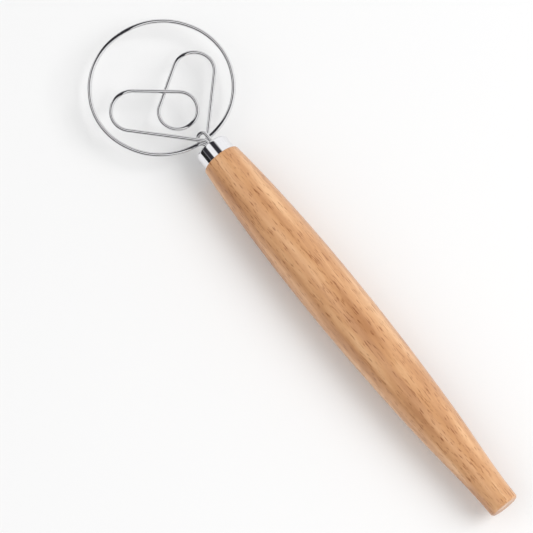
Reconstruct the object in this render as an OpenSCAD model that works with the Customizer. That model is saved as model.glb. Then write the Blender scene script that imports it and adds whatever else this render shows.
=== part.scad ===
/* [Head] */
// Radius of the outer ring, to the middle of its wire
ring_r = 40; // [34:1:44]
// Thickness of the outer ring's wire
ring_wire_d = 2.5; // [2:0.1:2.6]
// Bend radius where the ring turns into the ferrule
ring_root_r = 4; // [3.5:0.1:5]
// Thickness of the inner loop's wire
loop_wire_d = 2.3; // [1.8:0.1:2.4]
// Radius of the lobe on the left of the head
left_lobe_r = 11.5; // [10:0.1:12]
// Distance of that lobe's centre to the left of the axis
left_lobe_y = 19.9; // [19:0.1:21]
// Radius of the lobe on the right of the head
right_lobe_r = 11.9; // [10:0.1:12]
// Distance of that lobe's centre to the right of the axis
right_lobe_y = 21.4; // [20:0.1:22]
// Radius of the curl in the middle of the head
curl_r = 10.8; // [10:0.1:11.5]
// Distance from the ring's centre to the curl's centre
curl_x = 17.1; // [16:0.1:18]
// Radius of the small hitch in front of the ferrule
hitch_r = 2.55; // [2.3:0.05:2.7]

/* [Ferrule] */
// Distance from the ring's centre to the ferrule's front
ferrule_x = 45.7; // [45:0.1:52]
// Length of the ferrule
ferrule_l = 9.2; // [7:0.1:14]
// Diameter of the ferrule
ferrule_d = 20.4; // [18:0.1:21]
// Thickness of the ferrule's metal
ferrule_wall = 0.8; // [0.5:0.1:1.2]
// Radius of the ferrule's rounded front rim
ferrule_rim_r = 1.6; // [1:0.1:2.4]
// Diameter of the bore that takes the wire ends
bore_d = 8; // [7.8:0.1:9]
// Depth of that bore in the handle
bore_depth = 34; // [25:1:60]

/* [Handle] */
// Length of the handle behind the ferrule
handle_l = 246.6; // [220:1:280]
// Diameter of the shoulder against the ferrule
shoulder_d = 22.4; // [21.6:0.1:24]
// Radius of the shoulder's rounded edge
shoulder_edge_r = 0.9; // [0.4:0.1:1.2]
// Diameter of the belly, the thickest place
belly_d = 30.6; // [26:0.1:34]
// Distance from the shoulder to the belly
belly_x = 99; // [80:1:120]
// Diameter of the taper behind the belly
taper_d = 24.8; // [22:0.1:26]
// Distance from the shoulder to that taper
taper_x = 188; // [170:1:200]
// Diameter of the butt
butt_d = 17; // [14:0.1:20]
// Radius of the butt's rounded edge
butt_edge_r = 1.8; // [1:0.1:3]

/* [Hidden] */
clearance = 0.02;
wire_gap = 0.1;
// Straight stretches run a little way into the bends and are a hair thinner
seam_lap = 0.2;
seam_step = 0.06;
round_fn = 96;
wire_fn = 32;
profile_steps = 20;

// Heights of the wires above or below the axis where they enter the ferrule
ring_z = -(ring_wire_d + loop_wire_d) / 4;
tail_z = ring_z + (ring_wire_d + loop_wire_d) / 2 + wire_gap;
under_z = ring_z - (ring_wire_d + loop_wire_d) / 2 - wire_gap;
// Sideways places of the wires in the bore
ring_tail_y = ring_wire_d / 2 + wire_gap / 2;
bar_y = 2.25;
leg_y = bar_y - loop_wire_d - wire_gap;
tenon_front = ferrule_x + ferrule_wall;
handle_x = ferrule_x + ferrule_l;
tail_end = tenon_front + bore_depth - 2;
butt_x = handle_x + handle_l;

// The head is level and the belly rests on the ground
origin_x = (butt_x - ring_r - ring_wire_d / 2) / 2;
axis_z = belly_d / 2;

function unit(v) = v / norm(v);
function heading(a) = [cos(a), sin(a), 0];
function left_of(a) = [-sin(a), cos(a), 0];

// Heading of the straight stretch from one round bend to the next, both turning right
function tangent(c1, r1, c2, r2) =
    atan2(c2.y - c1.y, c2.x - c1.x) - asin((r1 - r2) / norm(c2 - c1));

// Corner points of a round bend, each with its bend radius. A right-hand turn is positive.
function bend(c, r, start, turn, z1, z2, n) = [
    for (k = [0 : n - 1])
        let (a = start - turn * (k + 0.5) / n,
            p = c + sign(turn) * left_of(a) * r / cos(turn / n / 2))
        [[p.x, p.y, z1 + (z2 - z1) * (k + 0.5) / n], r * 0.97]
];

// Reach of a bend along its two straight stretches
function reach(p, i) =
    (i == 0 || i == len(p) - 1) ? 0 :
    let (u = unit(p[i][0] - p[i - 1][0]), v = unit(p[i + 1][0] - p[i][0]))
    p[i][1] * tan(acos(u * v) / 2);

right_lobe = [2, -right_lobe_y, 0];
curl = [curl_x, -1.2, 0];
left_lobe = [3.4, left_lobe_y, 0];
hitch = [ferrule_x - 7.7, bar_y - hitch_r, 0];
leg_root = [ferrule_x - 4.1, leg_y, 0];
a_leg = tangent(leg_root, 0, right_lobe, right_lobe_r);
a_run = tangent(right_lobe, right_lobe_r, curl, curl_r);
a_back = tangent(curl, curl_r, left_lobe, left_lobe_r);
a_down = tangent(left_lobe, left_lobe_r, hitch, hitch_r);
lobe_z = 0.3;
over_z = 1;
beneath_z = -2;
left_z = -1.2;

loop_path = concat(
    [[[tail_end, leg_y, tail_z], 0], [[leg_root.x, leg_root.y, tail_z], 3]],
    bend(right_lobe, right_lobe_r, a_leg, (a_leg - a_run + 720) % 360, lobe_z, lobe_z, 2),
    bend(curl, curl_r, a_run, (a_run - a_back + 720) % 360, over_z, beneath_z, 4),
    bend(left_lobe, left_lobe_r, a_back, (a_back - a_down + 720) % 360, left_z, left_z, 2),
    bend(hitch, hitch_r, a_down, a_down + 180, under_z, under_z, 2),
    bend(hitch, hitch_r, -180, 180, under_z, tail_z, 3),
    [[[tail_end, bar_y, tail_z], 0]]
);

root_c = [sqrt(pow(ring_r + ring_root_r, 2) - pow(ring_tail_y + ring_root_r, 2)),
    ring_tail_y + ring_root_r, 0];
root_a = atan2(root_c.y, root_c.x);
ring_path = concat(
    [[[tail_end, ring_tail_y, ring_z], 0]],
    bend(root_c, ring_root_r, 180, 90 - root_a, ring_z, ring_z, 1),
    bend([0, 0, 0], ring_r, root_a + 90, 2 * root_a - 360, ring_z, ring_z, 6),
    bend([root_c.x, -root_c.y, 0], ring_root_r, 90 - root_a, 90 - root_a, ring_z, ring_z, 1),
    [[[tail_end, -ring_tail_y, ring_z], 0]]
);

module placed() {
    translate([-origin_x, 0, axis_z]) children();
}

module rod(a, b, d) {
    w = unit(b - a);
    translate(a) rotate([0, acos(w.z), atan2(w.y, w.x)])
        translate([0, 0, -seam_lap]) cylinder(d = d, h = norm(b - a) + 2 * seam_lap, $fn = wire_fn);
}

module elbow(p, i, d) {
    u = unit(p[i][0] - p[i - 1][0]);
    v = unit(p[i + 1][0] - p[i][0]);
    n = unit(cross(u, v));
    e = cross(u, n);
    c = p[i][0] - u * reach(p, i) - e * p[i][1];
    multmatrix([[e.x, u.x, n.x, c.x], [e.y, u.y, n.y, c.y], [e.z, u.z, n.z, c.z], [0, 0, 0, 1]])
        rotate_extrude(angle = acos(u * v), $fn = round_fn)
            translate([p[i][1], 0]) circle(d = d, $fn = wire_fn);
}

module bent_wire(p, d) {
    for (i = [0 : len(p) - 2]) {
        w = unit(p[i + 1][0] - p[i][0]);
        rod(p[i][0] + w * reach(p, i), p[i + 1][0] - w * reach(p, i + 1), d - seam_step);
    }
    for (i = [1 : len(p) - 2]) elbow(p, i, d);
}

module outer_ring() {
    color("silver") placed() bent_wire(ring_path, ring_wire_d);
}

module inner_loop() {
    color("silver") placed() bent_wire(loop_path, loop_wire_d);
}

module turned() {
    rotate([0, 90, 0]) rotate_extrude($fn = round_fn) children();
}

module ferrule() {
    r = ferrule_d / 2;
    color("gainsboro") placed() turned()
        difference() {
            union() {
                translate([0, ferrule_x + ferrule_rim_r]) square([r, ferrule_l - ferrule_rim_r]);
                translate([0, ferrule_x]) square([r - ferrule_rim_r, ferrule_l]);
                intersection() {
                    translate([r - ferrule_rim_r, ferrule_x + ferrule_rim_r])
                        circle(r = ferrule_rim_r, $fn = 48);
                    translate([0, ferrule_x]) square([r, ferrule_l]);
                }
            }
            translate([-1, tenon_front]) square([r - ferrule_wall + 1, ferrule_l]);
            translate([-1, ferrule_x - 1]) square([bore_d / 2 + 1, ferrule_l]);
        }
}

// Handle radius at a distance behind the shoulder
function curve(t, d1, d2, s1, s2) =
    (2 * t * t * t - 3 * t * t + 1) * d1 + (3 * t * t - 2 * t * t * t) * d2
    + (t * t * t - 2 * t * t + t) * s1 + (t * t * t - t * t) * s2;
butt_start = handle_l - butt_edge_r;
taper_l = taper_x - belly_x;
end_l = butt_start - taper_x;
taper_slope = -0.12;
front_power = 2.3;
profile = concat(
    [[0, 0], [shoulder_d / 2 - shoulder_edge_r, 0]],
    [for (a = [-60 : 30 : 0]) [shoulder_d / 2 - shoulder_edge_r * (1 - cos(a)),
        shoulder_edge_r * (1 + sin(a))]],
    [for (k = [1 : profile_steps])
        let (t = 1 - k / profile_steps)
        [(belly_d - (belly_d - shoulder_d) * pow(t, front_power)) / 2,
            belly_x - (belly_x - shoulder_edge_r) * t]],
    [for (k = [1 : profile_steps])
        let (t = k / profile_steps)
        [curve(t, belly_d, taper_d, 0, taper_slope * taper_l) / 2, belly_x + taper_l * t]],
    [for (k = [1 : profile_steps])
        let (t = k / profile_steps)
        [curve(t, taper_d, butt_d, taper_slope * end_l, 0) / 2, taper_x + end_l * t]],
    [for (a = [15 : 15 : 90]) [butt_d / 2 - butt_edge_r * (1 - cos(a)),
        butt_start + butt_edge_r * sin(a)]],
    [[0, handle_l]]
);

module handle() {
    color("burlywood") placed() difference() {
        union() {
            translate([handle_x, 0, 0]) turned() polygon(profile);
            translate([tenon_front, 0, 0]) rotate([0, 90, 0])
                cylinder(r = ferrule_d / 2 - ferrule_wall - clearance, h = ferrule_l, $fn = round_fn);
        }
        translate([tenon_front - 1, 0, 0]) rotate([0, 90, 0])
            cylinder(d = bore_d, h = bore_depth + 1, $fn = round_fn);
    }
}

module bore_adhesive() {
    color("ivory") placed() difference() {
        translate([tenon_front, 0, 0]) rotate([0, 90, 0])
            cylinder(d = bore_d - clearance, h = bore_depth, $fn = round_fn);
        for (s = [-1, 1])
            rod([tenon_front - 1, s * ring_tail_y, ring_z], [tail_end, s * ring_tail_y, ring_z],
                ring_wire_d + clearance);
        for (y = [bar_y, leg_y])
            rod([tenon_front - 1, y, tail_z], [tail_end, y, tail_z], loop_wire_d + clearance);
    }
}

outer_ring();
inner_loop();
ferrule();
handle();
bore_adhesive();
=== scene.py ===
from math import pi

import bpy
from mathutils import Matrix, Vector


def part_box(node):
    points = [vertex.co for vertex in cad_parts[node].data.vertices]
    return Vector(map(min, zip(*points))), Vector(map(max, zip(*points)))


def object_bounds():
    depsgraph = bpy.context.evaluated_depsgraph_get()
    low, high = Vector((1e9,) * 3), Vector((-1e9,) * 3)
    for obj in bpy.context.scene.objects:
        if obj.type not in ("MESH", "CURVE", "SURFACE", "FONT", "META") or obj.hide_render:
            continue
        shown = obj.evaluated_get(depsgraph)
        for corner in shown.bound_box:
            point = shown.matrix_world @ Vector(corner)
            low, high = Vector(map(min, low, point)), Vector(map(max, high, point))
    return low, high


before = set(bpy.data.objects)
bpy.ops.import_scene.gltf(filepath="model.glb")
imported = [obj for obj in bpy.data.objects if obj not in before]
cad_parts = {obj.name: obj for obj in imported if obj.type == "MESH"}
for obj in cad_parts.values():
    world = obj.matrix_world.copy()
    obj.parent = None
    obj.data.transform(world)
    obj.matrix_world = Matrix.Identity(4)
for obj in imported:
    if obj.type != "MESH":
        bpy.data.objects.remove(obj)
cad_lo, cad_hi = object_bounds()

# Places and lengths, in metres
FLOOR_HALF = 3.0          # from the middle of the floor to its edge
BELLY_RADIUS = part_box("handle")[1].z / 2
RING_REACH = 0.04125      # from the ring's centre to the front of its wire
RING_CENTRE = Vector((cad_lo[0] + RING_REACH, 0.0, BELLY_RADIUS))
CAMERA_PLACE = RING_CENTRE + Vector((0.4827, -0.2593, 1.2935))

# The camera's lens and film width, in millimetres, and the picture's right and up as directions
LENS = 170.4
FILM_WIDTH = 36.0
PICTURE_RIGHT = Vector((0.60761, 0.79392, -0.02249))
PICTURE_UP = Vector((-0.74834, 0.58176, 0.31866))

# Colours
WHITE = (1.0, 1.0, 1.0)
DARK_GRAIN = (0.46, 0.21, 0.085)
MIDDLE_GRAIN = (0.62, 0.32, 0.145)
LIGHT_GRAIN = (0.76, 0.45, 0.235)
PORE_TINT = (0.58, 0.44, 0.34)
WIRE_STEEL = (0.80, 0.80, 0.81)
FERRULE_STEEL = (0.88, 0.88, 0.90)
DARK_GLUE = (0.50, 0.42, 0.28)
LIGHT_GLUE = (0.66, 0.58, 0.42)

# Polished metal: the share of its colour that its dark marks keep, and the share by which its
# roughness strays either way
MARK_SHADE = 0.93
ROUGHNESS_SPREAD = 0.2

# The room that glossy surfaces mirror: strips that lie along the handle, each edge in degrees
# from straight up towards +Y, with darkness below that reaches less high on the +Y side
GREY_WALL = (0.62, 0.61, 0.64)
DARK_CARD = (0.035, 0.033, 0.04)
GREY_EDGE = (0.25, 0.25, 0.28)
STRIPS = [
    (-75, GREY_WALL), (-64, GREY_WALL), (-60, DARK_CARD), (-38, DARK_CARD),
    (-33, WHITE), (-6, WHITE), (-1, DARK_CARD), (22, DARK_CARD),
    (32, WHITE), (112, WHITE), (118, GREY_EDGE), (128, GREY_WALL),
]
HALF_TURN = 180.0
HORIZON_UP = (0.0, 0.3, 1.0)
HORIZON_DARK = 0.03
HORIZON_FOOT = 0.10       # height along HORIZON_UP where the dark ends
HORIZON_HEAD = 0.27       # height along HORIZON_UP where the strips have their full colour
ROOM_LIGHT = 0.68         # strength of the even light that matt surfaces get from all round

FLOOR_GREY = 0.86


def grey(level):
    return (level, level, level)


def material(name):
    mat = bpy.data.materials.new(name)
    mat.use_nodes = True
    tree = mat.node_tree
    return mat, tree, tree.nodes["Principled BSDF"]


def node(tree, kind, **settings):
    made = tree.nodes.new(kind)
    for key, value in settings.items():
        setattr(made, key, value)
    return made


def noise(tree, scale, detail=3.0, lengthwise=1.0):
    """Noise in the object's own frame, drawn out along X where lengthwise is under 1."""
    place = node(tree, "ShaderNodeTexCoord")
    mapping = node(tree, "ShaderNodeMapping")
    mapping.inputs["Scale"].default_value = (lengthwise, 1.0, 1.0)
    made = node(tree, "ShaderNodeTexNoise")
    made.inputs["Scale"].default_value = scale
    made.inputs["Detail"].default_value = detail
    tree.links.new(place.outputs["Object"], mapping.inputs["Vector"])
    tree.links.new(mapping.outputs["Vector"], made.inputs["Vector"])
    return made.outputs["Fac"]


def ramp(tree, source, stops):
    """Colours by the value of source: each stop is a value from 0 to 1 and its colour."""
    made = node(tree, "ShaderNodeValToRGB")
    elements = made.color_ramp.elements
    while len(elements) < len(stops):
        elements.new(0.5)
    for element, (place, colour) in zip(elements, stops):
        element.position = place
        element.color = (*colour, 1.0)
    tree.links.new(source, made.inputs["Fac"])
    return made.outputs["Color"]


def multiply(tree, first, second):
    made = node(tree, "ShaderNodeMix", data_type="RGBA", blend_type="MULTIPLY")
    made.inputs["Factor"].default_value = 1.0
    tree.links.new(first, made.inputs["A"])
    tree.links.new(second, made.inputs["B"])
    return made.outputs["Result"]


def bump(tree, shader, source, distance, strength=1.0):
    made = node(tree, "ShaderNodeBump")
    made.inputs["Distance"].default_value = distance
    made.inputs["Strength"].default_value = strength
    tree.links.new(source, made.inputs["Height"])
    tree.links.new(made.outputs["Normal"], shader.inputs["Normal"])


def wood():
    """Varnished beech: soft bands and short dark pore dashes that run along the handle."""
    mat, tree, shader = material("varnished_beech")
    bands = noise(tree, scale=150.0, detail=4.0, lengthwise=0.10)
    dashes = noise(tree, scale=1500.0, detail=2.0, lengthwise=0.11)
    grain = ramp(tree, bands, [(0.32, DARK_GRAIN), (0.50, MIDDLE_GRAIN), (0.66, LIGHT_GRAIN)])
    pores = ramp(tree, dashes, [(0.31, PORE_TINT), (0.43, WHITE)])
    rough = ramp(tree, bands, [(0.3, grey(0.42)), (0.7, grey(0.34))])
    tree.links.new(multiply(tree, grain, pores), shader.inputs["Base Color"])
    tree.links.new(rough, shader.inputs["Roughness"])
    shader.inputs["Coat Weight"].default_value = 0.35
    shader.inputs["Coat Roughness"].default_value = 0.16
    bump(tree, shader, dashes, distance=0.00005, strength=0.5)
    return mat


def steel(name, colour, roughness, mark_scale):
    """Polished metal with faint drawing marks."""
    mat, tree, shader = material(name)
    marks = noise(tree, scale=mark_scale, lengthwise=0.3)
    shade = ramp(tree, marks, [(0.3, tuple(c * MARK_SHADE for c in colour)), (0.7, colour)])
    rough = ramp(tree, marks, [
        (0.3, grey(roughness * (1 - ROUGHNESS_SPREAD))),
        (0.7, grey(roughness * (1 + ROUGHNESS_SPREAD))),
    ])
    tree.links.new(shade, shader.inputs["Base Color"])
    tree.links.new(rough, shader.inputs["Roughness"])
    shader.inputs["Metallic"].default_value = 1.0
    bump(tree, shader, marks, distance=0.000004, strength=0.4)
    return mat


def glue():
    """Cured glue: pale, dull and a little lumpy."""
    mat, tree, shader = material("cured_glue")
    lumps = noise(tree, scale=500.0)
    shade = ramp(tree, lumps, [(0.3, DARK_GLUE), (0.7, LIGHT_GLUE)])
    tree.links.new(shade, shader.inputs["Base Color"])
    shader.inputs["Roughness"].default_value = 0.5
    bump(tree, shader, lumps, distance=0.0001)
    return mat


def dress(name, mat):
    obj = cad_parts[name]
    obj.data.materials.clear()
    obj.data.materials.append(mat)


def floor():
    """A matt pale floor that takes the object's shadow."""
    bpy.ops.mesh.primitive_plane_add(size=2 * FLOOR_HALF, location=(0, 0, cad_lo[2]))
    plane = bpy.context.object
    plane.name = "floor"
    mat, tree, shader = material("floor_paint")
    shader.inputs["Base Color"].default_value = (*grey(FLOOR_GREY), 1.0)
    shader.inputs["Roughness"].default_value = 0.9
    shader.inputs["Specular IOR Level"].default_value = 0.0
    plane.data.materials.append(mat)


def strips(tree, direction):
    """The strips' colour, by the direction's angle round the handle."""
    parts = node(tree, "ShaderNodeSeparateXYZ")
    tree.links.new(direction, parts.inputs["Vector"])
    around = node(tree, "ShaderNodeMath", operation="ARCTAN2")
    tree.links.new(parts.outputs["Y"], around.inputs[0])
    tree.links.new(parts.outputs["Z"], around.inputs[1])
    turn = node(tree, "ShaderNodeMapRange")
    turn.inputs["From Min"].default_value = -pi
    turn.inputs["From Max"].default_value = pi
    tree.links.new(around.outputs["Value"], turn.inputs["Value"])
    stops = [((degrees + HALF_TURN) / (2 * HALF_TURN), colour) for degrees, colour in STRIPS]
    return ramp(tree, turn.outputs["Result"], stops)


def horizon(tree, direction):
    """Dark below and white above, to be multiplied with the strips."""
    height = node(tree, "ShaderNodeVectorMath", operation="DOT_PRODUCT")
    height.inputs[1].default_value = HORIZON_UP
    tree.links.new(direction, height.inputs[0])
    stops = [(HORIZON_FOOT, grey(HORIZON_DARK)), (HORIZON_HEAD, WHITE)]
    return ramp(tree, height.outputs["Value"], stops)


def background(tree, strength):
    made = node(tree, "ShaderNodeBackground")
    made.inputs["Color"].default_value = (*WHITE, 1.0)
    made.inputs["Strength"].default_value = strength
    return made


def choose(tree, test, otherwise, when_true):
    made = node(tree, "ShaderNodeMixShader")
    tree.links.new(test, made.inputs["Fac"])
    tree.links.new(otherwise.outputs[0], made.inputs[1])
    tree.links.new(when_true.outputs[0], made.inputs[2])
    return made


def studio():
    """The camera sees plain white, gloss mirrors the strips, and all else gets an even light."""
    world = bpy.data.worlds.new("studio")
    bpy.context.scene.world = world
    world.use_nodes = True
    tree = world.node_tree
    tree.nodes.clear()
    direction = node(tree, "ShaderNodeTexCoord").outputs["Generated"]
    mirrored = background(tree, 1.0)
    room = multiply(tree, strips(tree, direction), horizon(tree, direction))
    tree.links.new(room, mirrored.inputs["Color"])
    rays = node(tree, "ShaderNodeLightPath")
    lit = choose(tree, rays.outputs["Is Glossy Ray"], background(tree, ROOM_LIGHT), mirrored)
    seen = choose(tree, rays.outputs["Is Camera Ray"], lit, background(tree, 1.0))
    out = node(tree, "ShaderNodeOutputWorld")
    tree.links.new(seen.outputs[0], out.inputs["Surface"])


def lamp(name, place, size, power):
    """A square lamp, in metres and watts, that shines at the origin and is mirrored by nothing."""
    light = bpy.data.lights.new(name, "AREA")
    light.size = size
    light.energy = power
    obj = bpy.data.objects.new(name, light)
    bpy.context.scene.collection.objects.link(obj)
    obj.location = place
    obj.rotation_euler = (-Vector(place)).to_track_quat("-Z", "Y").to_euler()
    obj.visible_glossy = False


def camera():
    """The photograph's view: a long lens that looks steeply down, placed from the ring."""
    data = bpy.data.cameras.new("camera")
    data.sensor_width = FILM_WIDTH
    data.lens = LENS
    obj = bpy.data.objects.new("camera", data)
    bpy.context.scene.collection.objects.link(obj)
    back = PICTURE_RIGHT.cross(PICTURE_UP)
    turned = Matrix((PICTURE_RIGHT, PICTURE_UP, back)).transposed().to_4x4()
    turned.translation = CAMERA_PLACE
    obj.matrix_world = turned
    bpy.context.scene.camera = obj


camera()
dress("handle", wood())
wire = steel("polished_wire", WIRE_STEEL, roughness=0.09, mark_scale=900.0)
dress("outer_ring", wire)
dress("inner_loop", wire)
dress("ferrule", steel("polished_ferrule", FERRULE_STEEL, roughness=0.07, mark_scale=400.0))
dress("bore_adhesive", glue())
floor()
studio()
lamp("key", place=(0.9, 1.1, 1.6), size=1.4, power=26.0)
lamp("fill", place=(-0.4, -1.2, 1.4), size=1.6, power=5.0)
bpy.context.scene.view_settings.view_transform = "Standard"
